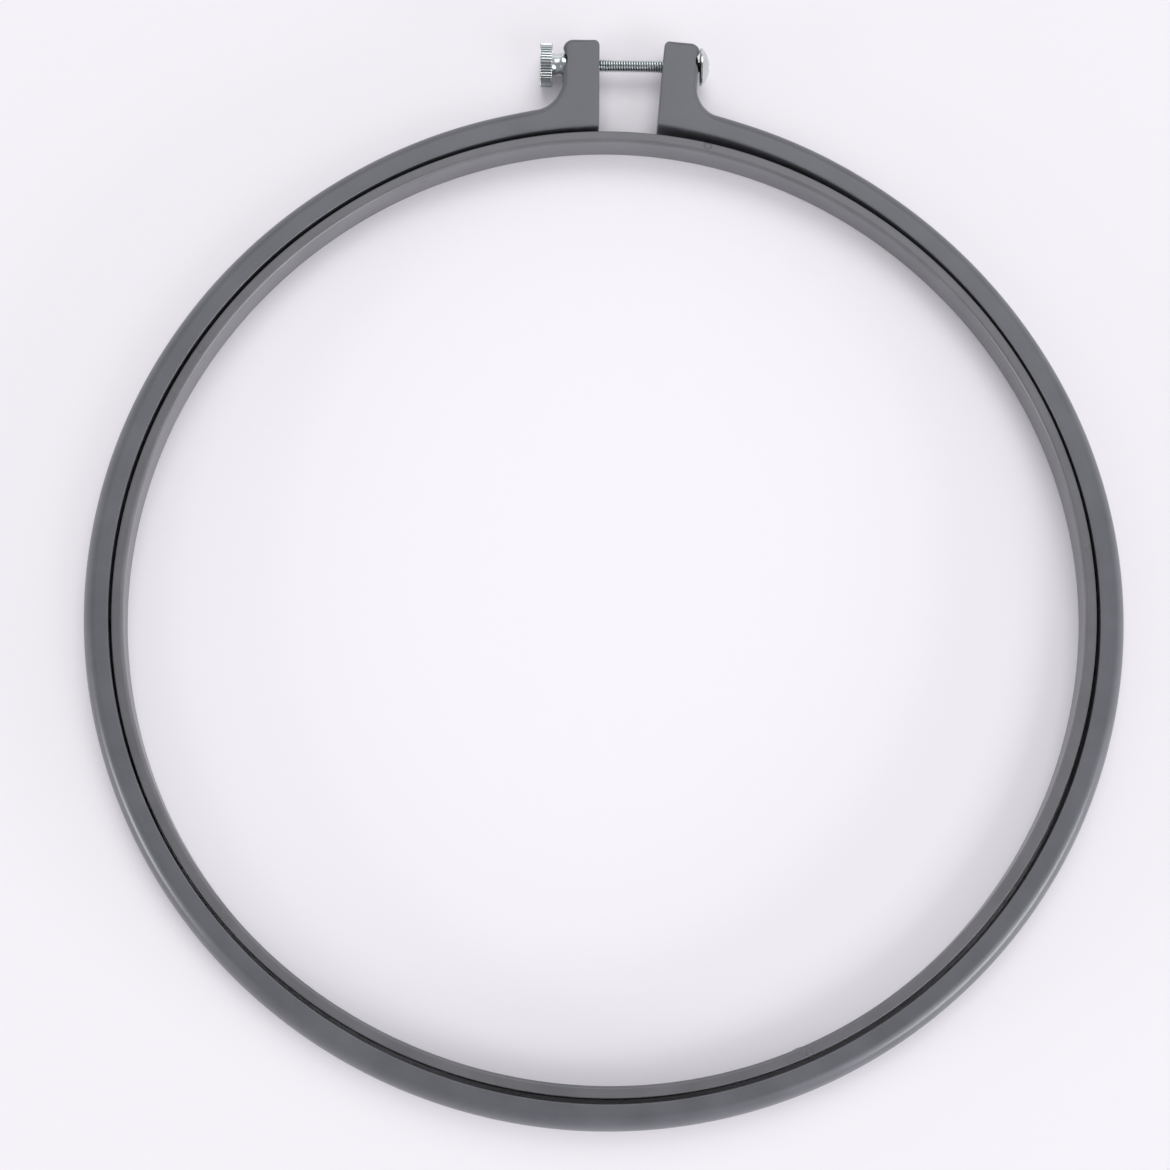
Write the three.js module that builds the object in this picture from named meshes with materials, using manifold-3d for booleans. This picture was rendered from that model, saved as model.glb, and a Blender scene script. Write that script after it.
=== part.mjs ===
// Embroidery hoop, 25 cm across, lying flat with its clamp at +Y. Millimetres, +Z up.
// A plain inner ring sits loosely in a split outer ring. A screw joins the outer ring's two
// ears, and the knurled nut on its end draws them together to grip the cloth. The clamp is slack:
// both ends of the outer ring spring outwards, the right one further, so the screw lies askew.
import * as THREE from 'three';
import { mergeVertices } from 'three/addons/utils/BufferGeometryUtils.js';
import Module from 'manifold-3d';

const wasm = await Module();
wasm.setup();

// Outer ring
const outerRadius = 125;
const outerWall = 6.2;
const ringHeight = 10;
const crownDepth = 3;
const sharpEdge = 0.3;
const relaxAngle = 62;
const relaxRadius = 5;
const endLift = 0.5;

// Inner ring
const ringClearance = 0.65;
const innerWall = 3.15;
const innerEdgeRadius = 1;
const innerShift = 0.45;

// Ears of the outer ring
const earGap = 15.8;
const earSplay = 2.35;
const earThickness = 9;
const earAboveScrew = 4.95;
const earInnerCorner = 1.3;
const earOuterCorner = 3;
const earSweep = 6;
const earEdge = 0.8;
const screwBeyondRing = 13.05;
const pocketDiameter = 9.7;
const pocketDepth = 1.15;
const endInset = 0.05;
const rootInset = 0.4;
const rootTaper = 12;

// Screw
const screwDiameter = 3.15;
const screwLength = 38.1;
const screwTipChamfer = 0.5;
const headDiameter = 9.4;
const headHeight = 2;
const headRim = 0.4;

// Thumb nut
const knurlDiameter = 10.9;
const knurlWidth = 3.1;
const knurlRidges = 46;
const knurlDepth = 0.3;
const knurlEdge = 0.3;
const neckLength = 2.1;
const neckDiameter = 5.9;
const waistDiameter = 4.7;
const footDiameter = 6.2;
const footThickness = 1.4;
const footEdge = 0.25;

// Clearances between pieces
const seatGap = 0.3;
const boreClearance = 0.35;
const tableClearance = 0.15;

// Fineness of the curves
const ringSteps = 128;
const crownSteps = 4;
const edgeSteps = 2;
const roundSteps = 36;

// Places that follow from the sizes
const boreRadius = outerRadius - outerWall;
const screwY = outerRadius + screwBeyondRing;
const screwZ = knurlDiameter / 2 + tableClearance;
const splay = THREE.MathUtils.degToRad(earSplay);
const skew = Math.atan(endLift / (earGap / 2 + earThickness / 2));
const relaxTurn = THREE.MathUtils.degToRad(relaxAngle);
const screwBore = screwDiameter / 2 + boreClearance;
const headSeat = seat(earThickness, headDiameter / 2, 1) + seatGap;
const footSeat = seat(earThickness - pocketDepth, footDiameter / 2, -1) + seatGap;

const plastic = new THREE.MeshStandardMaterial({ color: 0x6d6e74, roughness: 0.5, metalness: 0 });
const palePlastic = new THREE.MeshStandardMaterial({ color: 0x76767b, roughness: 0.5, metalness: 0 });
const plated = new THREE.MeshStandardMaterial({ color: 0xc9ced1, roughness: 0.25, metalness: 1 });

// A closed geometry as a solid that can be joined and cut
function solid(geometry) {
  const bare = geometry.index ? geometry.toNonIndexed() : geometry.clone();
  bare.deleteAttribute('normal');
  bare.deleteAttribute('uv');
  const merged = mergeVertices(bare, 1e-4);
  const vertProperties = new Float32Array(merged.attributes.position.array);
  const triVerts = new Uint32Array(merged.index.array);
  return new wasm.Manifold(new wasm.Mesh({ numProp: 3, vertProperties, triVerts }));
}

// Points of an outline without the ones that fall on their neighbour
function distinct(points) {
  return points.filter((p, i) => p.distanceTo(points[(i + 1) % points.length]) > 1e-4);
}

function geometryOf(body) {
  const { vertProperties, triVerts } = body.getMesh();
  const geometry = new THREE.BufferGeometry();
  geometry.setAttribute('position', new THREE.Float32BufferAttribute(vertProperties, 3));
  geometry.setIndex(new THREE.Uint32BufferAttribute(triVerts, 1));
  geometry.computeVertexNormals();
  return geometry;
}

// Turns a revolved form from the Y axis onto the X axis, with its Y pointing along +X
function alongX(geometry) {
  return geometry.rotateZ(-Math.PI / 2);
}

// How far from the hoop's middle, along the screw, a disk of this radius just touches an ear at
// this depth from the split. The lean is the angle between the screw and the ear. Here and below
// side is 1 for the right ear and -1 for the left.
function seat(depth, radius, side) {
  const lean = splay + side * skew;
  return earGap / 2 / Math.cos(skew) + depth / Math.cos(lean) + radius * Math.tan(Math.abs(lean));
}

// The outer ring's line seen from above. The heading is measured from the foot, opposite the
// split. In the last relaxTurn before the split each sprung arm runs on with a wider radius
// about a moved centre.
function widening(side) {
  return relaxRadius + (side * endLift) / (1 - Math.cos(relaxTurn));
}

function relaxedCentre(side) {
  const start = Math.PI - side * relaxTurn;
  return new THREE.Vector2(-widening(side) * Math.sin(start), widening(side) * Math.cos(start));
}

class RingLine extends THREE.Curve {
  constructor(radius, rightEnd, leftEnd) {
    super();
    this.radius = radius;
    this.rightEnd = rightEnd;
    this.leftEnd = leftEnd;
  }

  getPoint(t, target = new THREE.Vector3()) {
    const heading = THREE.MathUtils.lerp(this.rightEnd, this.leftEnd, t);
    const side = Math.sign(heading);
    const relaxed = Math.abs(heading) > Math.PI - relaxTurn;
    const centre = relaxed ? relaxedCentre(side) : new THREE.Vector2();
    const reach = relaxed ? this.radius + widening(side) : this.radius;
    return target.set(centre.x + reach * Math.sin(heading), centre.y - reach * Math.cos(heading), 0);
  }
}

// Section of the outer ring. Across it x runs down from the ring's middle height and y runs
// outwards from the bore: a flat wall, flat top and bottom, and an outside crowned like an ellipse.
function outerSection() {
  const half = ringHeight / 2;
  const section = new THREE.Shape();
  section.moveTo(-half + sharpEdge, 0);
  section.lineTo(-half, sharpEdge);
  section.lineTo(-half, outerWall - crownDepth);
  section.absellipse(0, outerWall - crownDepth, half, crownDepth, Math.PI, 0, true);
  section.lineTo(half, sharpEdge);
  section.lineTo(half - sharpEdge, 0);
  section.closePath();
  return section;
}

// The ring ends just inside each ear, so that the ear's own face closes the split.
function endHeading(side) {
  const faceX = earGap / 2 - (screwY - boreRadius) * Math.tan(splay) + endInset;
  const turn = Math.asin((faceX - side * relaxedCentre(side).x) / (boreRadius + widening(side)));
  return side * (Math.PI - turn);
}

function ringBody() {
  const line = new RingLine(boreRadius, endHeading(1), endHeading(-1));
  line.arcLengthDivisions = 4 * ringSteps;
  const body = new THREE.ExtrudeGeometry(outerSection(), {
    steps: ringSteps,
    curveSegments: crownSteps,
    extrudePath: line,
  });
  return solid(body.translate(0, 0, ringHeight / 2));
}

// Outline of an ear. Its x runs outwards from the face at the split and its y runs up the ear
// from the screw: two round corners at the top, a concave sweep onto the ring, and a root that
// tapers away inside the ring.
function earOutline(side) {
  const centre = relaxedCentre(side);
  centre.set(side * centre.x - earGap / 2, centre.y - screwHeight(side));
  const x = centre.x * Math.cos(splay) - centre.y * Math.sin(splay);
  const y = centre.x * Math.sin(splay) + centre.y * Math.cos(splay);
  const outside = outerRadius + widening(side);
  const root = boreRadius + widening(side) + rootInset;
  const sweepX = earThickness + earSweep;
  const sweepY = y + Math.sqrt((outside + earSweep) ** 2 - (sweepX - x) ** 2);
  const meet = Math.atan2(sweepY - y, sweepX - x);
  const tip = meet - THREE.MathUtils.degToRad(rootTaper);
  const tipRadius = outside - crownDepth - sharpEdge;
  const outline = new THREE.Shape();
  outline.moveTo(0, y + Math.sqrt(root ** 2 - x ** 2));
  outline.lineTo(0, earAboveScrew - earInnerCorner);
  outline.absarc(earInnerCorner, earAboveScrew - earInnerCorner, earInnerCorner, Math.PI, Math.PI / 2, true);
  outline.lineTo(earThickness - earOuterCorner, earAboveScrew);
  outline.absarc(
    earThickness - earOuterCorner, earAboveScrew - earOuterCorner, earOuterCorner, Math.PI / 2, 0, true,
  );
  outline.absarc(sweepX, sweepY, earSweep, Math.PI, meet + Math.PI, false);
  outline.lineTo(x + tipRadius * Math.cos(tip), y + tipRadius * Math.sin(tip));
  outline.absarc(x, y, root, tip, Math.acos(-x / root), false);
  return outline;
}

// The screw's height up the ear's face at the split
function screwHeight(side) {
  return screwY + side * (earGap / 2) * Math.tan(skew);
}

// A point of the ear's outline at its place on the hoop: both ears lean outwards by the splay.
function onEar(p, side) {
  const x = earGap / 2 + p.x * Math.cos(splay) + p.y * Math.sin(splay);
  const y = screwHeight(side) - p.x * Math.sin(splay) + p.y * Math.cos(splay);
  return new THREE.Vector2(side * x, y);
}

// The pocket round the screw, in the ear's outer side, is nearly as wide as the ear is high and
// breaks out through its top.
function ear(side) {
  const points = distinct(earOutline(side).getPoints(2 * edgeSteps));
  const body = new THREE.ExtrudeGeometry(new THREE.Shape(points.map((p) => onEar(p, side))), {
    depth: ringHeight - 2 * earEdge,
    bevelThickness: earEdge,
    bevelSize: earEdge,
    bevelOffset: -earEdge,
    bevelSegments: edgeSteps,
  });
  const pocketRadius = pocketDiameter / 2;
  const pocket = alongX(new THREE.CylinderGeometry(pocketRadius, pocketRadius, 2 * pocketDepth, roundSteps));
  const middle = onEar(new THREE.Vector2(earThickness, earThickness * Math.tan(splay + side * skew)), side);
  pocket.rotateZ(-side * splay).translate(middle.x, middle.y, screwZ);
  return solid(body.translate(0, 0, earEdge)).subtract(solid(pocket));
}

function outerRing() {
  const reach = 4 * headSeat;
  const bore = alongX(new THREE.CylinderGeometry(screwBore, screwBore, reach, roundSteps));
  bore.rotateZ(skew).translate(0, screwY, screwZ);
  const ring = ringBody().add(ear(1)).add(ear(-1)).subtract(solid(bore));
  return geometryOf(ring);
}

function innerRing() {
  const outside = boreRadius - ringClearance;
  const inside = outside - innerWall;
  const section = new THREE.Shape();
  section.moveTo(outside, sharpEdge);
  section.lineTo(outside, ringHeight - sharpEdge);
  section.lineTo(outside - sharpEdge, ringHeight);
  section.lineTo(inside + innerEdgeRadius, ringHeight);
  section.absarc(
    inside + innerEdgeRadius, ringHeight - innerEdgeRadius, innerEdgeRadius, Math.PI / 2, Math.PI, false,
  );
  section.absarc(
    inside + innerEdgeRadius, innerEdgeRadius, innerEdgeRadius, Math.PI, 1.5 * Math.PI, false,
  );
  section.lineTo(outside - sharpEdge, 0);
  section.closePath();
  const body = new THREE.LatheGeometry(section.getPoints(edgeSteps), ringSteps);
  return geometryOf(solid(body.rotateX(Math.PI / 2)));
}

// Screw with its head's underside at 0 and its shank running towards -X
function clampScrew() {
  const head = headDiameter / 2;
  const shank = screwDiameter / 2;
  const dome = headHeight - headRim;
  const domeRadius = (head ** 2 + dome ** 2) / (2 * dome);
  const domeAngle = Math.asin(head / domeRadius);
  const outline = new THREE.Path();
  outline.moveTo(0, -screwLength);
  outline.lineTo(shank - screwTipChamfer, -screwLength);
  outline.lineTo(shank, -screwLength + screwTipChamfer);
  outline.lineTo(shank, 0);
  outline.lineTo(head, 0);
  outline.lineTo(head, headRim);
  outline.absarc(0, headHeight - domeRadius, domeRadius, Math.PI / 2 - domeAngle, Math.PI / 2, false);
  const points = outline.getPoints(2 * edgeSteps);
  points[points.length - 1].x = 0;
  return geometryOf(solid(alongX(new THREE.LatheGeometry(points, roundSteps))));
}

// Nut with the face of its foot at 0 and its knurled end towards -X
function thumbNut() {
  const length = footThickness + neckLength + knurlWidth;
  const foot = footDiameter / 2;
  const neck = neckDiameter / 2;
  const waist = waistDiameter / 2;
  const diskFoot = length - knurlWidth;
  const outline = new THREE.Path();
  outline.moveTo(0, 0);
  outline.lineTo(foot - footEdge, 0);
  outline.lineTo(foot, footEdge);
  outline.lineTo(foot, footThickness - footEdge);
  outline.lineTo(foot - footEdge, footThickness);
  outline.quadraticCurveTo(2 * waist - neck, footThickness + neckLength / 2, neck, diskFoot);
  outline.lineTo(neck, length - knurlWidth / 2);
  outline.lineTo(0, length - knurlWidth / 2);
  const stem = new THREE.LatheGeometry(outline.getPoints(2 * edgeSteps), roundSteps);

  const rim = [];
  for (let i = 0; i < 2 * knurlRidges; i += 1) {
    const angle = (i * Math.PI) / knurlRidges;
    const radius = knurlDiameter / 2 - (i % 2) * knurlDepth;
    rim.push(new THREE.Vector2(radius * Math.sin(angle), radius * Math.cos(angle)));
  }
  const disk = new THREE.ExtrudeGeometry(new THREE.Shape(rim), {
    depth: knurlWidth - 2 * knurlEdge,
    bevelThickness: knurlEdge,
    bevelSize: knurlEdge,
    bevelOffset: -knurlEdge,
    bevelSegments: 1,
  });
  disk.rotateX(-Math.PI / 2).translate(0, diskFoot + knurlEdge, 0);
  const bore = new THREE.CylinderGeometry(screwBore, screwBore, 3 * length, roundSteps);
  const nut = solid(stem).add(solid(disk)).subtract(solid(bore));
  return geometryOf(nut).rotateZ(Math.PI / 2);
}

function piece(name, geometry, material) {
  const mesh = new THREE.Mesh(geometry, material);
  mesh.name = name;
  return mesh;
}

const outer = piece('outer_ring', outerRing(), plastic);

// The inner ring lies loose, moved a little towards the split
const inner = piece('inner_ring', innerRing(), palePlastic);
inner.position.y = innerShift;

const screw = piece('clamp_screw', clampScrew(), plated);
screw.position.x = headSeat;

const nut = piece('thumb_nut', thumbNut(), plated);
nut.position.x = -footSeat;

const clamp = new THREE.Group();
clamp.add(screw, nut);
clamp.rotation.z = skew;
clamp.position.set(0, screwY, screwZ);

// The origin is on the table, under the middle of the whole hoop. The right ear's inner corner
// is the hoop's highest point along Y.
const highCorner = onEar(new THREE.Vector2(earInnerCorner, earAboveScrew - earInnerCorner), 1);
const hoop = new THREE.Group();
hoop.add(outer, inner, clamp);
hoop.position.y = (outerRadius - highCorner.y - earInnerCorner) / 2;

export default hoop;
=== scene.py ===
import math

import bmesh
import bpy
import numpy as np
from mathutils import Matrix, Vector


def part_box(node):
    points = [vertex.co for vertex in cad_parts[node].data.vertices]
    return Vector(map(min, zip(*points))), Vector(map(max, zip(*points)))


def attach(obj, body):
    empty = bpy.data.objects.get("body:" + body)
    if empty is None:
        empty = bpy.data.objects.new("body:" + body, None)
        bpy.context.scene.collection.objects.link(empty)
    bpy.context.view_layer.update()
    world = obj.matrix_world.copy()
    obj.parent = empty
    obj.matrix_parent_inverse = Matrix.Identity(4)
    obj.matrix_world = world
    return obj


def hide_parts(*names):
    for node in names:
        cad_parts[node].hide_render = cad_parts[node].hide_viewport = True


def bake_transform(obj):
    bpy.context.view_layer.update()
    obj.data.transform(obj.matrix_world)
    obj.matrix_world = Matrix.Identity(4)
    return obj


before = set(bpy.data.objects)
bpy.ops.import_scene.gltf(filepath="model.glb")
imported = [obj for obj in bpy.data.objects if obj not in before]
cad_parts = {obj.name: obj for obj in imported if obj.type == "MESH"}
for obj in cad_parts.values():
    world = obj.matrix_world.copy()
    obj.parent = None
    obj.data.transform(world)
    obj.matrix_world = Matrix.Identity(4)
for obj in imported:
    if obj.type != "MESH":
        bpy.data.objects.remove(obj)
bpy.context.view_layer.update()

# Embroidery hoop, lying flat with its clamp at +Y. All sizes below are in millimetres, measured
# from the outer ring's own centre on the table; toFrame moves them to the frame, in metres.
mm = 0.001
ringLow, ringHigh = (np.array(corner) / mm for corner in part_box("outer_ring"))
screwLow, screwHigh = (np.array(corner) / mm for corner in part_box("clamp_screw"))

hoop = {
    "radius": 125.0,
    "outside": (ringHigh[0] - ringLow[0]) / 2 - 0.01,  # stays just inside the faceted solid
    "height": ringHigh[2],
    "relaxTurn": math.radians(62),  # how far before the split each end starts to spring out
    "relaxRadius": 5.0,
    "endLift": 0.5,  # the right end springs further by this much
    "screwBeyondRing": 12.57,
    "screwHeight": 5.6,
    "earGap": 15.8,
    "earThickness": 9.0,
    "splay": math.radians(2.35),  # how far each ear leans out
    "bendAboveFoot": 3.1,  # where the ring bends as its ears close
}
hoop["centreY"] = ringLow[1] + hoop["outside"]
hoop["screwY"] = hoop["radius"] + hoop["screwBeyondRing"]
hoop["skew"] = math.atan(hoop["endLift"] / (hoop["earGap"] / 2 + hoop["earThickness"] / 2))


def toFrame(points):  # ring-centred millimetres to metres in the frame
    return (np.asarray(points, float) + [0, hoop["centreY"], 0]) * mm


def outOfRound(points, waves, fade=1):
    # moulded rings are never quite round: each wave adds size * cos(order * (angle - peak)) to the
    # radius, with the angle counted from +X
    x, y = points[..., 0], points[..., 1]
    angle = np.arctan2(y, x)
    grow = sum(size * np.cos(order * (angle - math.radians(peak))) for order, size, peak in waves)
    share = 1 + fade * grow / np.hypot(x, y)
    return np.stack([x * share, y * share, points[..., 2]], -1)


def smoothStep(value):  # 0 below 0, 1 above 1, 3t^2 - 2t^3 between
    t = np.clip(value, 0, 1)
    return t * t * (3 - 2 * t)


def blendFrom(number, columns):  # a smooth step that starts so many columns before 0 and takes so many
    before, long = columns
    return smoothStep((number + before) / long)


# Meshes


def gridMesh(name, points, loopRows=False, loopColumns=False, caps=False, sharpAngle=35):
    # a grid of points [row, column] as quads; caps close the first and last row to their middles
    rows, columns = points.shape[:2]
    index = np.arange(rows * columns).reshape(rows, columns)
    if loopRows:
        index = np.vstack([index, index[:1]])
    if loopColumns:
        index = np.hstack([index, index[:, :1]])
    quads = np.stack([index[:-1, :-1], index[1:, :-1], index[1:, 1:], index[:-1, 1:]], 2).reshape(-1, 4)
    faces = quads.tolist()
    vertices = points.reshape(-1, 3)
    if caps:
        middles = np.stack([points[0].mean(0), points[-1].mean(0)])
        first, last = len(vertices), len(vertices) + 1
        vertices = np.vstack([vertices, middles])
        faces += [[first, a, b] for a, b in zip(index[0, :-1].tolist(), index[0, 1:].tolist())]
        faces += [[last, b, a] for a, b in zip(index[-1, :-1].tolist(), index[-1, 1:].tolist())]
    mesh = bpy.data.meshes.new(name)
    mesh.from_pydata(vertices.tolist(), [], faces)
    mesh.update()
    piece = bpy.data.objects.new(name, mesh)
    bpy.context.scene.collection.objects.link(piece)
    tidyMesh(piece, sharpAngle)
    return piece


def tidyMesh(piece, sharpAngle):
    # doubles merged, flat slivers dropped, faces turned outwards, smooth apart from real edges
    work = bmesh.new()
    work.from_mesh(piece.data)
    bmesh.ops.remove_doubles(work, verts=work.verts, dist=0.0005 * mm)
    bmesh.ops.dissolve_degenerate(work, edges=work.edges, dist=0.0005 * mm)
    bmesh.ops.recalc_face_normals(work, faces=work.faces)
    work.to_mesh(piece.data)
    work.free()
    piece.data.shade_smooth()
    piece.data.set_sharp_from_angle(angle=math.radians(sharpAngle))


def cut(piece, cutters, sharpAngle=35):
    # the cutters' volumes are taken away from the piece, and the cutters are deleted
    for cutter in cutters:
        modifier = piece.modifiers.new("cut", "BOOLEAN")
        modifier.operation = "DIFFERENCE"
        modifier.solver = "EXACT"
        modifier.object = cutter
    bpy.context.view_layer.update()
    finished = bpy.data.meshes.new_from_object(
        piece.evaluated_get(bpy.context.evaluated_depsgraph_get()))
    piece.modifiers.clear()
    piece.data = finished
    for cutter in cutters:
        bpy.data.objects.remove(cutter)
    tidyMesh(piece, sharpAngle)


def arc(x, y, radius, start, stop, count):  # points round (x, y), angles in radians
    turn = np.linspace(start, stop, count + 1)
    return np.stack([x + radius * np.cos(turn), y + radius * np.sin(turn)], 1)


def straight(start, stop, count):
    return np.linspace(start, stop, count + 1)


def chain(*runs):  # runs joined end to end, each without the point that it shares
    return np.vstack([runs[0]] + [run[1:] for run in runs[1:]])


def revolved(profile, turns):
    # a profile of (along, radius) turned about X: y = r cos(turn), z = r sin(turn)
    along, radius = profile[:, 0][:, None], profile[:, 1][:, None]
    turn = turns[None, :]
    return np.stack([along + 0 * turn, radius * np.cos(turn), radius * np.sin(turn)], 2)


# Outer ring: a strip from the left ear's tip round the foot to the right ear's tip. Across it a
# closed section runs up the inner wall, over the top, down the outside and back underneath.
outerRing = {
    "bore": 118.65,
    "crown": (3.0, 4.85),  # the outside's quarter ellipse: across, and down from the top
    "innerEdge": 0.3,
    "earEdge": 1.15,
    "tipEdge": 0.6,
    "boreCorner": 0.45,
    "boreSag": {1: 0.0, -1: 0.32},  # how far the bore comes in again at each end
    "boreDrop": 0.22,  # the bore's middle lies nearer the foot than the outside's
    "earAboveScrew": 5.43,
    "innerCorner": 1.6,
    "outerCorner": 2.5,
    "waves": ((0, -0.14, 0), (1, 0.04, 0), (2, 0.10, -12), (3, 0.08, -33), (4, 0.05, 16)),
    "waveFade": (14, 20),  # degrees from the split at which the waves start, and how many they take
    "sweep": {1: 6.0, -1: 7.2},  # radius from the ring into each ear
    "ringColumns": 300,
    "earColumns": (28, 16, 16, 8, 6),  # of the sweep, the outer side, its corner, the tip, half a corner
    "faceColumns": (6, 36, 6),  # of the bore's corner, the face in the split, the other half corner
    "dropColumns": 80,  # over which the bore's drop fades out
    "sagColumns": (70, 80),  # the bore's sag starts so many before the ear, and grows over so many
    "earBlend": (8, 30),  # the same for the ear's edges
    "tipBlend": (9, 8),  # the same for the tip's, counted from the last column
    "nubStop": 30,  # no nub stands within so many columns of the tip
    "roundRows": 9,
    "wallRows": 8,
    "topRows": 6,
    "gateNubs": ((-1, 12.3, 8.7), (1, 14.1, 8.2)),  # side, distance from the middle, height
    "nubSize": (0.28, 0.8, 0.6),  # stands out, half length, half height
    "pocketRadius": {1: 4.42, -1: 4.5},  # both break out through the rounded edges of the faces
    "pocketDepth": 1.15,
    "pocketEdge": 0.18,
    "pocketFillet": 0.3,
    "screwBore": 1.925,
}


def earFrame(side):  # how wide the end springs, the moved centre, and the screw's height on the face
    o = hoop
    wider = o["relaxRadius"] + side * o["endLift"] / (1 - math.cos(o["relaxTurn"]))
    centre = np.array([-wider * math.sin(o["relaxTurn"]), -wider * math.cos(o["relaxTurn"])])
    screwAt = o["screwY"] + side * o["earGap"] / 2 * math.tan(o["skew"])
    return wider, centre, screwAt


def onEar(points, side):  # ear measures (out from the split's face, up from the screw) to hoop ones
    screwAt = earFrame(side)[2]
    lean = hoop["splay"]
    x = hoop["earGap"] / 2 + points[:, 0] * math.cos(lean) + points[:, 1] * math.sin(lean)
    y = screwAt - points[:, 0] * math.sin(lean) + points[:, 1] * math.cos(lean)
    return np.stack([x, y], 1)


def ringRun(radius, side, headings):  # a circle that springs out in its last stretch
    wider, centre, _ = earFrame(side)
    sprung = (headings > math.pi - hoop["relaxTurn"])[:, None]
    direction = np.stack([np.sin(headings), -np.cos(headings)], 1)
    return np.where(sprung, centre + (radius + wider) * direction, radius * direction)


def halfPlan(side):
    # inner and outer edge lines of one half, foot to tip, as equal counts of points with x outwards
    r = outerRing
    wider, centre, screwAt = earFrame(side)
    lean = hoop["splay"]
    # x and y: the sprung circle's centre in the ear's own measures, where the ear is square
    cx, cy = centre[0] - hoop["earGap"] / 2, centre[1] - screwAt
    x, y = cx * math.cos(lean) - cy * math.sin(lean), cx * math.sin(lean) + cy * math.cos(lean)
    outside, bore = hoop["outside"] + wider, r["bore"] + wider
    thick, top = hoop["earThickness"], r["earAboveScrew"]
    sweep = r["sweep"][side]
    sweepX = thick + sweep
    sweepY = y + math.sqrt((outside + sweep) ** 2 - (sweepX - x) ** 2)
    meet = math.atan2(sweepY - y, sweepX - x)
    cornerX = r["boreCorner"]
    cornerY = y + math.sqrt((bore + cornerX) ** 2 - (cornerX - x) ** 2)
    inner, outer = r["innerCorner"], r["outerCorner"]

    def headingOf(point):
        place = onEar(np.array([point]), side)[0] - centre
        return math.atan2(place[0], -place[1])

    meetHeading = headingOf((x + outside * math.cos(meet), y + outside * math.sin(meet)))
    toCorner = math.atan2(cornerY - y, cornerX - x)
    boreHeading = headingOf((x + bore * math.cos(toCorner), y + bore * math.sin(toCorner)))
    headings = np.linspace(0, meetHeading, r["ringColumns"] + 1)
    sweepCount, sideCount, outerCount, tipCount, halfCount = r["earColumns"]
    outerEar = chain(
        arc(sweepX, sweepY, sweep, meet + math.pi, math.pi, sweepCount),
        straight((thick, sweepY), (thick, top - outer), sideCount),
        arc(thick - outer, top - outer, outer, 0, math.pi / 2, outerCount),
        straight((thick - outer, top), (inner, top), tipCount),
        arc(inner, top - inner, inner, math.pi / 2, 0.75 * math.pi, halfCount),
    )
    cornerCount, faceCount, otherCount = r["faceColumns"]
    innerEar = chain(
        arc(cornerX, cornerY, cornerX, math.atan2(y - cornerY, x - cornerX), -math.pi, cornerCount),
        straight((0, cornerY), (0, top - inner), faceCount),
        arc(inner, top - inner, inner, math.pi, 0.75 * math.pi, otherCount),
    )
    boreCount = len(outerEar) - len(innerEar)
    outerLine = chain(ringRun(hoop["outside"], side, headings), onEar(outerEar, side))
    boreRun = ringRun(r["bore"], side, np.linspace(meetHeading, boreHeading, boreCount + 1))
    innerLine = chain(ringRun(r["bore"], side, headings), boreRun, onEar(innerEar, side))
    number, last = np.arange(len(innerLine)), len(innerLine) - 1
    innerLine[:, 1] -= r["boreDrop"] * smoothStep((r["ringColumns"] - number) / r["dropColumns"])
    # the sag grows towards the split and fades out again along the ear's face
    faceStart = r["ringColumns"] + boreCount + cornerCount
    growing = blendFrom(number - r["ringColumns"], r["sagColumns"])
    innerLine[:, 1] -= r["boreSag"][side] * growing * np.clip((last - number) / (last - faceStart), 0, 1)
    return innerLine, outerLine


def normalsOf(line, turn):  # unit normals of a line, to its left for turn 1 and right for -1
    step = np.gradient(line, axis=0)
    step /= np.linalg.norm(step, axis=1, keepdims=True)
    return turn * np.stack([-step[:, 1], step[:, 0]], 1)


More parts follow.
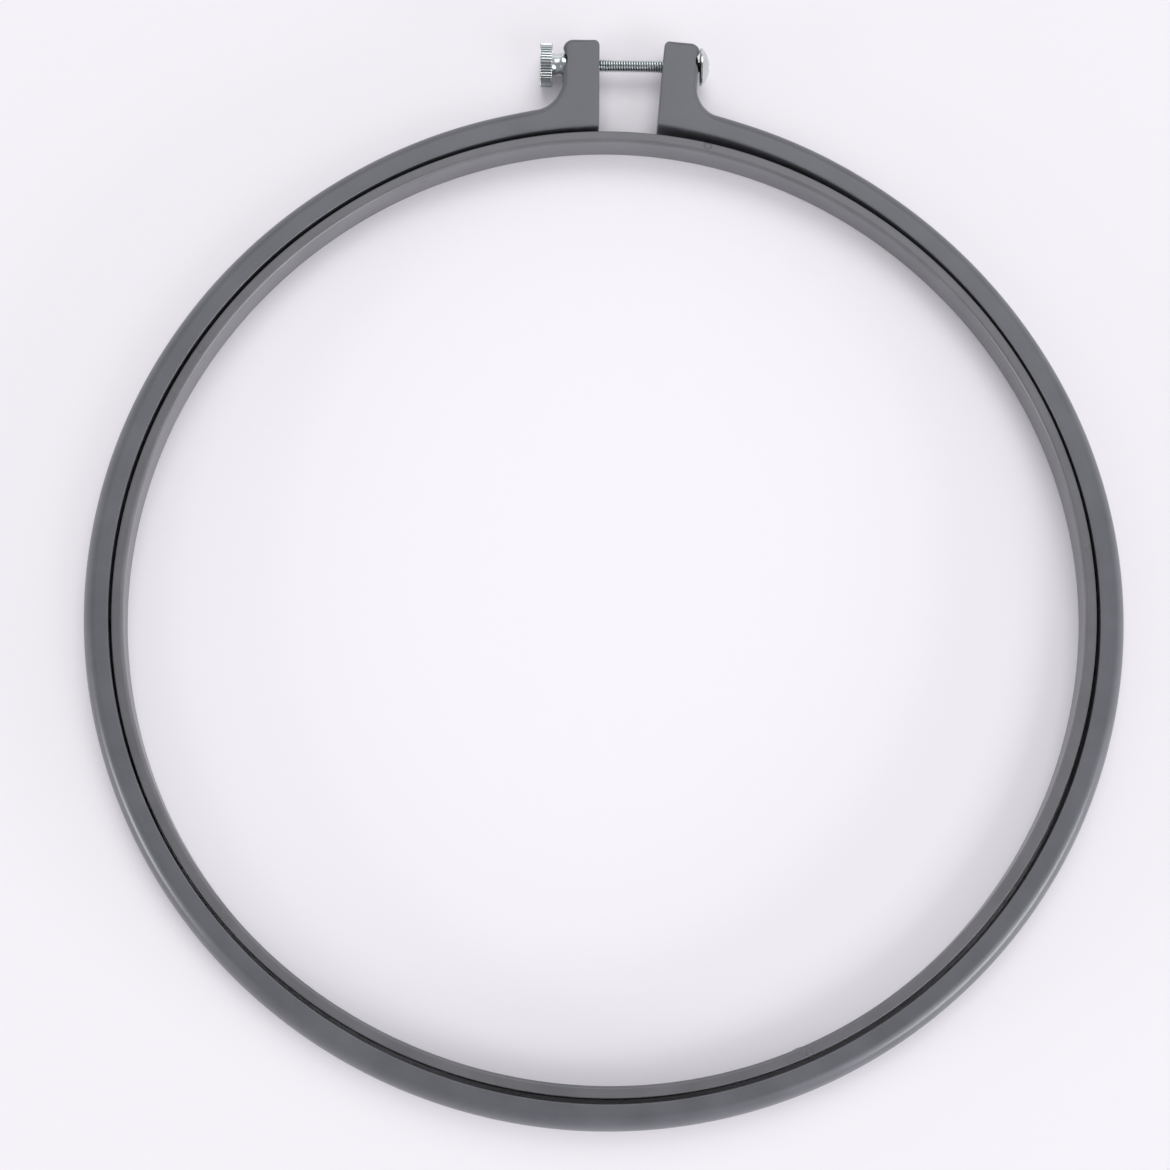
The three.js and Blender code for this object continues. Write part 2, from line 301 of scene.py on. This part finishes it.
def ringSection(side):
    # grid [along, round the section] of one half of the outer ring
    r = outerRing
    innerLine, outerLine = halfPlan(side)
    innerNormal, outerNormal = normalsOf(innerLine, 1), normalsOf(outerLine, -1)
    tipNormal = (innerNormal[-1] + outerNormal[-1]) / 2
    innerNormal[-1] = outerNormal[-1] = tipNormal / np.linalg.norm(tipNormal)
    count = len(innerLine)
    number = np.arange(count)
    earness = blendFrom(number - r["ringColumns"], r["earBlend"])  # 0 on the ring, 1 on the ear
    tipness = blendFrom(number - count, r["tipBlend"])
    across = r["crown"][0] + (r["earEdge"] - r["crown"][0]) * earness
    down = r["crown"][1] + (r["earEdge"] - r["crown"][1]) * earness
    across += (r["tipEdge"] - across) * tipness
    down += (r["tipEdge"] - down) * tipness
    edge = r["innerEdge"] + (r["tipEdge"] - r["innerEdge"]) * tipness
    height = hoop["height"]
    turn = np.linspace(0, math.pi / 2, r["roundRows"])[None, :, None]

    def quarter(line, normal, wide, deep):  # from the wall up and in to the top face
        plan = line[:, None] - normal[:, None] * wide[:, None, None] * (1 - np.cos(turn))
        rise = height - deep[:, None, None] * (1 - np.sin(turn))
        return np.concatenate([plan, rise], 2)

    def mirrored(grid):
        flipped = grid[:, ::-1].copy()
        flipped[..., 2] = height - flipped[..., 2]
        return flipped

    def between(a, b, rows):  # straight rows between two lines of points, without their ends
        share = np.linspace(0, 1, rows + 1)[1:-1][None, :, None]
        return a[:, None] * (1 - share) + b[:, None] * share

    innerTop = quarter(innerLine, innerNormal, edge, edge)
    outerTop = quarter(outerLine, outerNormal, across, down)[:, ::-1]
    innerWall = between(mirrored(innerTop)[:, -1], innerTop[:, 0], r["wallRows"])
    outerWall = between(outerTop[:, -1], mirrored(outerTop)[:, 0], r["wallRows"])
    for nubSide, distance, rise in r["gateNubs"]:
        if nubSide == side:
            out, long, high = r["nubSize"]
            aside, above = (innerWall[..., 0] - distance) / long, (innerWall[..., 2] - rise) / high
            lump = (out * np.exp(-(aside ** 2 + above ** 2) ** 2))[..., None]
            lump = lump * (number[:, None, None] < count - r["nubStop"])
            innerWall[..., :2] += innerNormal[:, None] * lump
    top = between(innerTop[:, -1], outerTop[:, 0], r["topRows"])
    bottom = between(mirrored(outerTop)[:, -1], mirrored(innerTop)[:, 0], r["topRows"])
    section = np.concatenate([
        mirrored(innerTop), innerWall, innerTop, top, outerTop, outerWall, mirrored(outerTop), bottom], 1)
    section[..., 0] *= side
    return section


def pocketCutter(side):
    # the round pocket in the ear's outer side, with a rounded floor and a chamfered rim
    r = outerRing
    radius, deep = r["pocketRadius"][side], r["pocketDepth"]
    fillet, rim = r["pocketFillet"], r["pocketEdge"]
    axis, flare, reach = 0.01, 0.6, 3.0  # the cutter opens at 45 degrees and ends clear of the ear
    profile = np.vstack([
        [(-deep, axis), (-deep, radius - fillet)],
        arc(-deep + fillet, radius - fillet, fillet, math.pi, math.pi / 2, 5)[1:],
        [(-rim, radius), (flare, radius + flare + rim), (reach, radius + flare + rim), (reach, axis)],
    ])
    points = revolved(profile, np.linspace(0, 2 * math.pi, 144, endpoint=False))
    rise = hoop["earThickness"] * math.tan(hoop["splay"] + side * hoop["skew"])
    middle = onEar(np.array([[hoop["earThickness"], rise]]), side)[0]
    cos, sin = math.cos(hoop["splay"]), math.sin(hoop["splay"])
    out, aside = points[..., 0], points[..., 1]
    place = np.stack([
        side * (middle[0] + out * cos + aside * sin),
        middle[1] - out * sin + aside * cos,
        hoop["screwHeight"] + points[..., 2]], 2)
    return gridMesh("pocketCutter", toFrame(place), loopColumns=True, caps=True)


def alongScrew(points):  # measures along the skewed screw to ring-centred ones
    cos, sin = math.cos(hoop["skew"]), math.sin(hoop["skew"])
    x, y = points[..., 0], points[..., 1]
    return np.stack([
        x * cos - y * sin,
        hoop["screwY"] + x * sin + y * cos,
        hoop["screwHeight"] + points[..., 2]], -1)


def makeOuterRing():
    right, left = ringSection(1), ringSection(-1)
    strip = np.concatenate([left[::-1], right[1:]])
    fromSplit = np.abs(np.arctan2(strip[..., 0], strip[..., 1]))
    start, long = (math.radians(angle) for angle in outerRing["waveFade"])
    strip = outOfRound(strip, outerRing["waves"], smoothStep((fromSplit - start) / long))
    piece = gridMesh("outerRing", toFrame(strip), loopColumns=True)
    reach, radius = 40, outerRing["screwBore"]
    bore = revolved(np.array([(-reach, radius), (reach, radius)]),
                    np.linspace(0, 2 * math.pi, 72, endpoint=False))
    boreCutter = gridMesh("boreCutter", toFrame(alongScrew(bore)), loopColumns=True, caps=True)
    cut(piece, [pocketCutter(1), pocketCutter(-1), boreCutter])
    return piece


# Inner ring: a section turned about the ring's own middle, with round ejector marks on its top
# and two broken-off gates on its inner wall.
innerRing = {
    "outside": 117.8,
    "inside": 114.95,
    "shift": (-0.02, 0.42),
    "innerEdge": 0.85,
    "outerEdge": 0.34,
    "topSlope": math.radians(7),  # the faces fall off towards the outside
    "waves": ((2, 0.17, 66), (3, 0.33, -33), (4, 0.17, 12), (5, 0.09, 12)),
    "columns": 600,
    "markHeadings": (9.7, 80.8, 153.7, -132.6, -60.6),  # degrees clockwise from the split
    "markRing": 116.85,
    "markRadius": 0.82,
    "markGroove": (0.17, 0.11),  # half width and depth
    "gateHeadings": (-25.5, 154.6),
    "gateSize": (0.3, 1.15, 0.8),  # stands out, half length, half height
    "gateHeight": 6.4,
}


def makeInnerRing():
    r = innerRing
    height, inside, outside = hoop["height"], r["inside"], r["outside"]
    wide, fine = r["innerEdge"], r["outerEdge"]
    corner = arc(inside + wide, height - wide, wide, math.pi, math.pi / 2, 10)
    top = chain(corner, straight((inside + wide, height), (outside - fine, height), 18),
                arc(outside - fine, height - fine, fine, math.pi / 2, 0, 4))
    top[:, 1] -= math.tan(r["topSlope"]) * np.maximum(top[:, 0] - inside - wide, 0)
    bottom = top[::-1] * [1, -1] + [0, height]
    section = chain(top, bottom, straight(bottom[-1], top[0], 16))[:-1]  # (radius, height)
    headings = np.linspace(-180, 180, r["columns"], endpoint=False)
    features = r["markHeadings"] + r["gateHeadings"]
    close = np.linspace(-1, 1, 41)  # finer columns about each feature, in degrees
    headings = np.unique(np.round(np.concatenate(
        [headings] + [feature + close for feature in features]), 4))
    turn = np.radians(headings)[:, None]
    radius, rise = section[:, 0][None, :] + 0 * turn, section[:, 1][None, :] + 0 * turn

    isTop = rise > height - 0.9 * wide  # the top face, and most of its rounded edge
    for heading in r["markHeadings"]:  # a round groove where an ejector pin met the part
        away = np.hypot((turn - math.radians(heading)) * radius, radius - r["markRing"])
        half, deep = r["markGroove"]
        groove = deep * np.exp(-((away - r["markRadius"]) / half) ** 2)
        rise = rise - groove * isTop
    isInner = radius < inside + 0.05  # the inner wall
    rng = np.random.default_rng(5)
    for heading in r["gateHeadings"]:  # a ragged stub where the gate was broken off
        out, long, high = r["gateSize"]
        along, up = (turn - math.radians(heading)) * inside, rise - r["gateHeight"]
        ragged = 0.75 + 0.25 * np.sin(5.1 * along + 2) * np.cos(4.3 * up)
        stub = out * ragged * np.exp(-((along / long) ** 4 + (up / high) ** 4))
        radius = radius - stub * isInner * (1 + 0.2 * rng.standard_normal(stub.shape))
    points = outOfRound(np.stack([radius * np.sin(turn), radius * np.cos(turn), rise], 2), r["waves"])
    points[..., :2] += r["shift"]
    return gridMesh("innerRing", toFrame(points), loopRows=True, loopColumns=True)


# Screw: measured from the middle of the split along its own axis
screw = {
    "length": 38.1,
    "radius": 1.5875,
    "pitch": 0.635,
    "threadDepth": 0.34,
    "flank": (3.0, 0.12),  # slope of the thread's wave, and how much the flat root cuts off
    "runOut": (0.8, 0.4, 1.2),  # the thread's fade: at the tail, and its end and length under the head
    "samples": 10,  # rows in a pitch
    "turns": 40,
    "headRadius": 4.68,
    "headHeight": 2.3,
    "headRim": 0.45,
    "headEdge": 0.12,
    "headClear": 0.02,  # stays so far inside the solid
    "recess": (1.95, 0.5, 1.25),  # half length and half width of the cross, and its depth
    "recessTurn": 0.35,
}
# The head's top is the screw's highest reach along +X
screw["seat"] = screwHigh[0] / math.cos(hoop["skew"]) - screw["headHeight"] - screw["headClear"]


def turnedAbout(points, angle):  # turned about the screw's axis
    y, z = points[..., 1], points[..., 2]
    return np.stack([points[..., 0], y * math.cos(angle) - z * math.sin(angle),
                     y * math.sin(angle) + z * math.cos(angle)], -1)


def shankGrid():
    s = screw
    # thread: the radius is a wave of (along / pitch - turn), flat at its crests and roots
    rows = int(s["length"] / s["pitch"] * s["samples"])
    along = np.linspace(-s["length"], -0.05, rows)[:, None]
    turn = np.linspace(0, 2 * math.pi, s["turns"], endpoint=False)[None, :]
    phase = (along / s["pitch"] - turn / (2 * math.pi)) % 1
    slope, root = s["flank"]
    wave = np.clip(np.abs(phase - 0.5) * slope - root, 0, 1)
    tail, under, long = s["runOut"]
    fade = smoothStep((along + s["length"]) / tail) * smoothStep(-(along + under) / long)
    radius = s["radius"] - s["threadDepth"] * (1 - wave * fade)
    shank = np.stack([along + 0 * turn, radius * np.cos(turn), radius * np.sin(turn)], 2)
    shank[..., 0] += s["seat"]
    return shank


def headProfile():
    s = screw
    rim, dome = s["headRim"], s["headHeight"] - s["headRim"]
    ball = (s["headRadius"] ** 2 + dome ** 2) / (2 * dome)
    reach = math.asin(s["headRadius"] / ball)
    fine = s["headEdge"]
    under = straight((0, 0.3), (0, s["headRadius"] - fine), 4)
    edge = arc(fine, s["headRadius"] - fine, fine, math.pi, math.pi / 2, 4)
    crown = arc(s["headHeight"] - ball, 0, ball, reach, 0.002, 26)
    return chain(under, edge, straight(edge[-1], crown[0], 3), crown)


def crossCutter():
    # a cross that narrows as it goes in: twelve corners at the mouth, the same drawn in at the floor
    s = screw
    long, half, deep = s["recess"]
    arm = np.array([(long, -half), (long, half), (half, half)])
    quarters = [arm, arm[:, ::-1] * [-1, 1], -arm, arm[:, ::-1] * [1, -1]]  # each a quarter turn on
    corners = np.vstack(quarters)
    loops = []
    for depth, share in ((0.8, 1.25), (-0.05, 1.0), (-deep * 0.6, 0.82), (-deep, 0.45)):
        level = np.full(len(corners), s["seat"] + s["headHeight"] + depth)
        loops.append(np.column_stack([level, corners * share]))
    points = turnedAbout(np.array(loops), s["recessTurn"])
    return gridMesh("crossCutter", toFrame(alongScrew(points)), loopColumns=True, caps=True)


def joined(name, pieces, sharpAngle=35):  # the meshes of several pieces as one
    work = bmesh.new()
    for old in pieces:
        work.from_mesh(old.data)
        bpy.data.objects.remove(old)
    mesh = bpy.data.meshes.new(name)
    work.to_mesh(mesh)
    work.free()
    piece = bpy.data.objects.new(name, mesh)
    bpy.context.scene.collection.objects.link(piece)
    tidyMesh(piece, sharpAngle)
    return piece


def makeClampScrew():
    profile = headProfile()
    profile[:, 0] += screw["seat"]
    head = revolved(profile, np.linspace(0, 2 * math.pi, 96, endpoint=False))
    headPiece = gridMesh("head", toFrame(alongScrew(head)), loopColumns=True, caps=True)
    cut(headPiece, [crossCutter()])
    shankPiece = gridMesh("shank", toFrame(alongScrew(shankGrid())), loopColumns=True, caps=True)
    return joined("clampScrew", [headPiece, shankPiece])


# Thumb nut: a closed profile turned about the screw's axis, with straight knurls on its disk
thumbNut = {
    "foot": 16.059,  # its foot's face, measured back from the middle of the split
    "footRadius": 3.08,
    "footThickness": 1.35,
    "footEdge": 0.2,
    "neckLength": 2.15,
    "neckRadius": 3.0,
    "waistRadius": 2.72,
    "diskRadius": 5.43,
    "diskWidth": 3.08,
    "diskEdge": 0.3,
    "bore": 1.68,
    "boreEdge": 0.25,
    "dish": (0.2, 1.0),  # depth, and how far it reaches past the bore
    "ridges": 46,
    "ridgeDepth": 0.3,
    "samples": 10,  # columns in a ridge
}


def makeThumbNut():
    n = thumbNut
    foot, waist, neck, disk = n["footRadius"], n["waistRadius"], n["neckRadius"], n["diskRadius"]
    neckStart, diskStart = n["footThickness"], n["footThickness"] + n["neckLength"]
    end = diskStart + n["diskWidth"]
    share = np.linspace(0, 1, 15)
    # the neck: a parabola through the foot's edge, the waist and the disk
    edge, rim, bore, chamfer = n["footEdge"], n["diskEdge"], n["bore"], n["boreEdge"]
    dip = (foot - edge + neck) / 2 - waist
    sag = (1 - share) * (foot - edge) + share * neck - 4 * share * (1 - share) * dip
    neckRun = np.column_stack([neckStart + share * n["neckLength"], sag])
    deep, wide = n["dish"]
    profile = chain(
        np.array([(chamfer, bore), (0.0, bore + chamfer)]),
        straight((0.0, bore + chamfer), (0, foot - edge), 3),
        arc(edge, foot - edge, edge, math.pi, math.pi / 2, 4),
        straight((edge, foot), (neckStart - edge, foot), 3),
        arc(neckStart - edge, foot - edge, edge, math.pi / 2, 0, 4),
        neckRun,
        straight((diskStart, neck), (diskStart, disk - rim), 6),
        arc(diskStart + rim, disk - rim, rim, math.pi, math.pi / 2, 5),
        straight((diskStart + rim, disk), (end - rim, disk), 8),
        arc(end - rim, disk - rim, rim, math.pi / 2, 0, 5),
        straight((end, disk - rim), (end, bore + wide), 8),
        arc(end, bore + wide - deep, deep, math.pi / 2, math.pi, 4),
        straight((end - deep, bore + wide - deep), (end - deep, bore + 0.3), 3),
        np.array([(end - deep, bore + 0.3), (end - deep - 0.3, bore)]),
        straight((end - deep - 0.3, bore), (chamfer, bore), 12),
    )[:-1]
    columns = n["ridges"] * n["samples"]
    turns = np.linspace(0, 2 * math.pi, columns, endpoint=False)
    points = revolved(profile, turns)
    # knurls: the radius drops in narrow grooves between broad ridges, only on the disk's rim
    wave = 0.5 - 0.5 * np.cos(turns * n["ridges"])
    onRim = smoothStep((profile[:, 1] - disk + rim + 0.1) / 0.25)
    shrink = 1 - n["ridgeDepth"] / disk * wave[None, :] ** 3 * onRim[:, None]
    points[..., 1] *= shrink
    points[..., 2] *= shrink
    points[..., 0] = -n["foot"] - points[..., 0]
    return gridMesh("thumbNut", toFrame(alongScrew(points)), loopRows=True, loopColumns=True)


# Materials


def shaderOf(name):
    material = bpy.data.materials.new(name)
    material.use_nodes = True
    nodes, links = material.node_tree.nodes, material.node_tree.links
    return material, nodes, links, nodes["Principled BSDF"]


def addNode(nodes, kind, inputs=None, **settings):
    node = nodes.new(kind)
    for key, value in settings.items():
        setattr(node, key, value)
    for key, value in (inputs or {}).items():
        node.inputs[key].default_value = value
    return node


plastic = {
    "outer": (0.102, 0.104, 0.118),
    "inner": (0.120, 0.119, 0.130),
    "roughness": 0.36,
    "roughnessRange": 0.06,
    "mottle": 0.10,  # how far the colour drifts either way
    "grain": 0.00001,  # height of the mould's fine texture, in metres
}


def satinPlastic(name, colour):
    material, nodes, links, shader = shaderOf(name)
    place = addNode(nodes, "ShaderNodeTexCoord").outputs["Object"]
    drift = addNode(nodes, "ShaderNodeTexNoise", {"Scale": 90, "Detail": 4, "Roughness": 0.55})
    grain = addNode(nodes, "ShaderNodeTexNoise", {"Scale": 3200, "Detail": 2, "Roughness": 0.5})
    links.new(place, drift.inputs["Vector"])
    links.new(place, grain.inputs["Vector"])
    paint = addNode(nodes, "ShaderNodeValToRGB")
    low = [c * (1 - plastic["mottle"]) for c in colour]
    high = [c * (1 + plastic["mottle"]) for c in colour]
    paint.color_ramp.elements[0].position = 0.3
    paint.color_ramp.elements[1].position = 0.7
    paint.color_ramp.elements[0].color = (*low, 1)
    paint.color_ramp.elements[1].color = (*high, 1)
    links.new(drift.outputs["Fac"], paint.inputs["Fac"])
    links.new(paint.outputs["Color"], shader.inputs["Base Color"])
    gloss = addNode(nodes, "ShaderNodeMapRange", {
        "To Min": plastic["roughness"] - plastic["roughnessRange"],
        "To Max": plastic["roughness"] + plastic["roughnessRange"]})
    links.new(drift.outputs["Fac"], gloss.inputs["Value"])
    links.new(gloss.outputs["Result"], shader.inputs["Roughness"])
    bump = addNode(nodes, "ShaderNodeBump", {"Strength": 0.6, "Distance": plastic["grain"]})
    links.new(grain.outputs["Fac"], bump.inputs["Height"])
    links.new(bump.outputs["Normal"], shader.inputs["Normal"])
    shader.inputs["IOR"].default_value = 1.46
    return material


metal = {
    "colour": (0.66, 0.68, 0.68),
    "blue": (0.58, 0.625, 0.64),
    # painted shade, each rising to 1 between two distances from the screw's axis: where from, where to,
    # how dark
    "threadRootShade": (1.25, 1.5, 0.43),
    "knurlGrooveShade": (5.14, 5.38, 0.4),
    "neckLimit": 5.0,  # nearer the axis than this there is no knurl
    "headSlotShadow": (0.04, 0.12, 0.06),  # the same kind of ramp, a painted shadow, by the distance past the head's underside
    "slotShadowStart": 12.0,  # the painted shadow runs from here to the head, measured from the middle of the split
    "roughness": 0.24,
    "roughnessRange": 0.06,
    "turningMarks": 0.000004,  # their height, in metres
}


def risingShade(nodes, links, distance, start, stop, dark):  # painted shade: from dark up to 1 between two distances
    node = addNode(nodes, "ShaderNodeMapRange", {
        "From Min": start * mm, "From Max": stop * mm, "To Min": dark})
    links.new(distance, node.inputs["Value"])
    return node.outputs["Result"]


def zincPlate(name):
    material, nodes, links, shader = shaderOf(name)
    place = addNode(nodes, "ShaderNodeTexCoord").outputs["Object"]
    drift = addNode(nodes, "ShaderNodeTexNoise", {"Scale": 260, "Detail": 3, "Roughness": 0.5})
    links.new(place, drift.inputs["Vector"])
    paint = addNode(nodes, "ShaderNodeValToRGB")
    paint.color_ramp.elements[0].position = 0.35
    paint.color_ramp.elements[1].position = 0.65
    paint.color_ramp.elements[0].color = (*metal["blue"], 1)
    paint.color_ramp.elements[1].color = (*metal["colour"], 1)
    links.new(drift.outputs["Fac"], paint.inputs["Fac"])
    # measures from the middle of the split: along the screw's axis, and away from it
    along = (math.cos(hoop["skew"]), math.sin(hoop["skew"]), 0)
    middle = toFrame((0, hoop["screwY"], hoop["screwHeight"])).tolist()
    fromMiddle = addNode(nodes, "ShaderNodeVectorMath", {1: middle}, operation="SUBTRACT")
    links.new(place, fromMiddle.inputs[0])
    axis = addNode(nodes, "ShaderNodeVectorMath", {1: along}, operation="DOT_PRODUCT")
    links.new(fromMiddle.outputs["Vector"], axis.inputs[0])
    crossed = addNode(nodes, "ShaderNodeVectorMath", {1: along}, operation="CROSS_PRODUCT")
    links.new(fromMiddle.outputs["Vector"], crossed.inputs[0])
    away = addNode(nodes, "ShaderNodeVectorMath", operation="LENGTH")
    links.new(crossed.outputs["Vector"], away.inputs[0])
    # painted shade: the thread's roots and the disk's grooves are darkened
    threadRootShade = risingShade(nodes, links, away.outputs["Value"], *metal["threadRootShade"])
    grooveShadeByRadius = risingShade(nodes, links, away.outputs["Value"], *metal["knurlGrooveShade"])
    neck = mathNode(nodes, links, "LESS_THAN", away.outputs["Value"], metal["neckLimit"] * mm)
    knurlGrooveShade = mathNode(nodes, links, "MAXIMUM", grooveShadeByRadius, neck)
    # painted shadow in the slot between ear and head: the steel is darkened from inside the right ear up
    # to the head's underside
    start, stop, dark = metal["headSlotShadow"]
    seat = screw["seat"]
    under = risingShade(nodes, links, axis.outputs["Value"], seat + start, seat + stop, dark)
    before = mathNode(nodes, links, "LESS_THAN", axis.outputs["Value"], metal["slotShadowStart"] * mm)
    slotShadowMask = mathNode(nodes, links, "MAXIMUM", under, before)
    share = mathNode(nodes, links, "MULTIPLY", mathNode(nodes, links, "MULTIPLY", threadRootShade, knurlGrooveShade), slotShadowMask)
    # the colour darkened by the painted shade
    paintedShadeColour = addNode(nodes, "ShaderNodeVectorMath", operation="SCALE")
    links.new(paint.outputs["Color"], paintedShadeColour.inputs[0])
    links.new(share, paintedShadeColour.inputs["Scale"])
    links.new(paintedShadeColour.outputs["Vector"], shader.inputs["Base Color"])
    # turning marks: a noise that changes only along the screw's axis
    marks = addNode(nodes, "ShaderNodeTexNoise", {"Scale": 9000, "Detail": 2}, noise_dimensions="1D")
    links.new(axis.outputs["Value"], marks.inputs["W"])
    bump = addNode(nodes, "ShaderNodeBump", {"Strength": 0.5, "Distance": metal["turningMarks"]})
    links.new(marks.outputs["Fac"], bump.inputs["Height"])
    links.new(bump.outputs["Normal"], shader.inputs["Normal"])
    gloss = addNode(nodes, "ShaderNodeMapRange", {
        "To Min": metal["roughness"] - metal["roughnessRange"],
        "To Max": metal["roughness"] + metal["roughnessRange"]})
    links.new(drift.outputs["Fac"], gloss.inputs["Value"])
    links.new(gloss.outputs["Result"], shader.inputs["Roughness"])
    shader.inputs["Metallic"].default_value = 1
    return material


# Camera: found from the edges of both rings in the photograph of 1170 x 1170 pixels
camera = {
    "place": (-12.42, -150.73, 730.35),  # ring-centred
    "uprightX": -0.0454,  # the picture's upward direction, laid on the table
    "lens": 94.77,
    "sensor": 36.0,
    "shift": (-0.0173, 0.0218),
}


def makeCamera():
    data = bpy.data.cameras.new("camera")
    data.lens, data.sensor_width = camera["lens"], camera["sensor"]
    data.shift_x, data.shift_y = camera["shift"]
    data.clip_start, data.clip_end = 0.01, 20
    place = Vector(toFrame(camera["place"]))
    target = Vector(toFrame((0, 0, 0)))
    forward = (target - place).normalized()
    right = forward.cross(Vector((camera["uprightX"], 1, 0))).normalized()
    up = right.cross(forward)
    made = bpy.data.objects.new("camera", data)
    made.matrix_world = Matrix.Translation(place) @ Matrix((right, up, -forward)).transposed().to_4x4()
    bpy.context.scene.collection.objects.link(made)
    bpy.context.scene.camera = made


# Light and floor
studio = {
    "floor": (0.885, 0.858, 0.906),
    "floorGlow": (0.15, 0.58),  # how much of the floor's picture is its own light: inside, and outside
    "glowChange": (117, 124),  # between these distances from the ring's centre
    "crevice": (0.33, 0.8),  # openness between which that light comes in: none in the slot of the rings
    "creviceReach": 12,  # how far away a wall still shuts the floor in
    "fill": 0.32,
    "horizon": 1.15,  # further light from low down at the back
    "horizonFall": 1.5,
    # azimuth in degrees from +X, elevation, distance, width and height in metres, and light: 1 would
    # light the floor so that its colour renders as written
    "lamps": (
        ("leftStrip", 200, 8, 3.0, 0.9, 0.8, 0.075),
        ("rightStrip", 330, 8, 3.0, 2.1, 0.8, 0.13),
        ("leftBox", 207, 38, 2.5, 0.8, 0.8, 0.05),
        ("rightBox", 322, 38, 2.5, 1.5, 1.0, 0.18),
        ("backBox", 84, 58, 2.5, 1.8, 1.4, 0.30),
    ),
}


def makeLamps():
    for name, azimuth, elevation, distance, width, height, share in studio["lamps"]:
        data = bpy.data.lights.new(name, "AREA")
        data.shape = "RECTANGLE"
        data.size, data.size_y = width, height
        data.energy = share * math.pi ** 2 * distance ** 2 / math.sin(math.radians(elevation))
        lamp = bpy.data.objects.new(name, data)
        flat = math.cos(math.radians(elevation))
        direction = Vector((
            flat * math.cos(math.radians(azimuth)),
            flat * math.sin(math.radians(azimuth)),
            math.sin(math.radians(elevation))))
        lamp.location = direction * distance
        lamp.rotation_mode = "QUATERNION"
        lamp.rotation_quaternion = direction.to_track_quat("Z", "Y")
        bpy.context.scene.collection.objects.link(lamp)


def mathNode(nodes, links, operation, *inputs):  # each input a number or another node's output
    node = addNode(nodes, "ShaderNodeMath", operation=operation)
    for socket, value in zip(node.inputs, inputs):
        if isinstance(value, (int, float)):
            socket.default_value = value
        else:
            links.new(value, socket)
    return node.outputs["Value"]


def makeWorld():
    # strength = fill + horizon * (1 - z)^fall * (1 + y) / 2 for a direction (x, y, z)
    world = bpy.data.worlds.new("studio")
    bpy.context.scene.world = world
    world.use_nodes = True
    nodes, links = world.node_tree.nodes, world.node_tree.links
    background = nodes["Background"]
    background.inputs["Color"].default_value = (0.97, 0.985, 1, 1)
    parts = addNode(nodes, "ShaderNodeSeparateXYZ")
    links.new(addNode(nodes, "ShaderNodeTexCoord").outputs["Generated"], parts.inputs["Vector"])
    height = mathNode(nodes, links, "MAXIMUM", parts.outputs["Z"], 0.0)
    slant = mathNode(nodes, links, "SUBTRACT", 1.0, height)
    low = mathNode(nodes, links, "POWER", slant, studio["horizonFall"])
    half = studio["horizon"] / 2
    back = mathNode(nodes, links, "MULTIPLY_ADD", parts.outputs["Y"], half, half)
    strength = mathNode(nodes, links, "MULTIPLY_ADD", low, back, studio["fill"])
    links.new(strength, background.inputs["Strength"])


def makeFloor():
    # seen straight or in gloss the floor has some light of its own, so that its shadows stay faint
    mesh = bpy.data.meshes.new("floor")
    half, level = 12.0, -0.00002  # metres
    mesh.from_pydata([(-half, -half, level), (half, -half, level), (half, half, level),
                      (-half, half, level)], [], [(0, 1, 2, 3)])
    floor = bpy.data.objects.new("floor", mesh)
    bpy.context.scene.collection.objects.link(floor)
    material, nodes, links, shader = shaderOf("floor")
    shader.inputs["Base Color"].default_value = (*studio["floor"], 1)
    shader.inputs["Roughness"].default_value = 0.9
    shader.inputs["Specular IOR Level"].default_value = 0.1
    glow = addNode(nodes, "ShaderNodeEmission", {"Color": (*studio["floor"], 1)})
    ray = addNode(nodes, "ShaderNodeLightPath")
    seen = mathNode(nodes, links, "MAXIMUM", ray.outputs["Is Camera Ray"], ray.outputs["Is Glossy Ray"])
    away = addNode(nodes, "ShaderNodeVectorMath", {1: toFrame((0, 0, 0)).tolist()}, operation="DISTANCE")
    links.new(addNode(nodes, "ShaderNodeTexCoord").outputs["Object"], away.inputs[0])
    inside, outside = studio["floorGlow"]
    near, far = studio["glowChange"]
    byPlace = addNode(nodes, "ShaderNodeMapRange", {
        "From Min": near * mm, "From Max": far * mm, "To Min": inside, "To Max": outside})
    links.new(away.outputs["Value"], byPlace.inputs["Value"])
    reach = studio["creviceReach"] * mm
    openness = addNode(nodes, "ShaderNodeAmbientOcclusion", {"Distance": reach}, samples=8)
    shut, clear = studio["crevice"]
    byOpenness = addNode(nodes, "ShaderNodeMapRange", {"From Min": shut, "From Max": clear})
    links.new(openness.outputs["AO"], byOpenness.inputs["Value"])
    share = mathNode(nodes, links, "MULTIPLY", mathNode(
        nodes, links, "MULTIPLY", byPlace.outputs["Result"], byOpenness.outputs["Result"]), seen)
    mixed = addNode(nodes, "ShaderNodeMixShader")
    links.new(share, mixed.inputs["Fac"])
    links.new(shader.outputs["BSDF"], mixed.inputs[1])
    links.new(glow.outputs["Emission"], mixed.inputs[2])
    links.new(mixed.outputs["Shader"], nodes["Material Output"].inputs["Surface"])
    mesh.materials.append(material)


makeCamera()
print("camera ready")
makeLamps()
makeWorld()
makeFloor()
print("studio ready")

outerPlastic = satinPlastic("outerPlastic", plastic["outer"])
innerPlastic = satinPlastic("innerPlastic", plastic["inner"])
platedSteel = zincPlate("platedSteel")

for make, material, node, slotName in (
        (makeOuterRing, outerPlastic, "outer_ring", "outer_plastic"),
        (makeInnerRing, innerPlastic, "inner_ring", "inner_plastic"),
        (makeClampScrew, platedSteel, "clamp_screw", "zinc_plate"),
        (makeThumbNut, platedSteel, "thumb_nut", "zinc_plate")):
    piece = make()
    piece.data.materials.clear()
    piece.data.materials.append(material)
    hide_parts(node)
    if node == "outer_ring":
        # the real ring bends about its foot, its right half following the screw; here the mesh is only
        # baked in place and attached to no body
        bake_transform(piece)
    else:
        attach(piece, node)
    print(piece.name, len(piece.data.vertices), "points")

bpy.context.scene.view_settings.view_transform = "Standard"
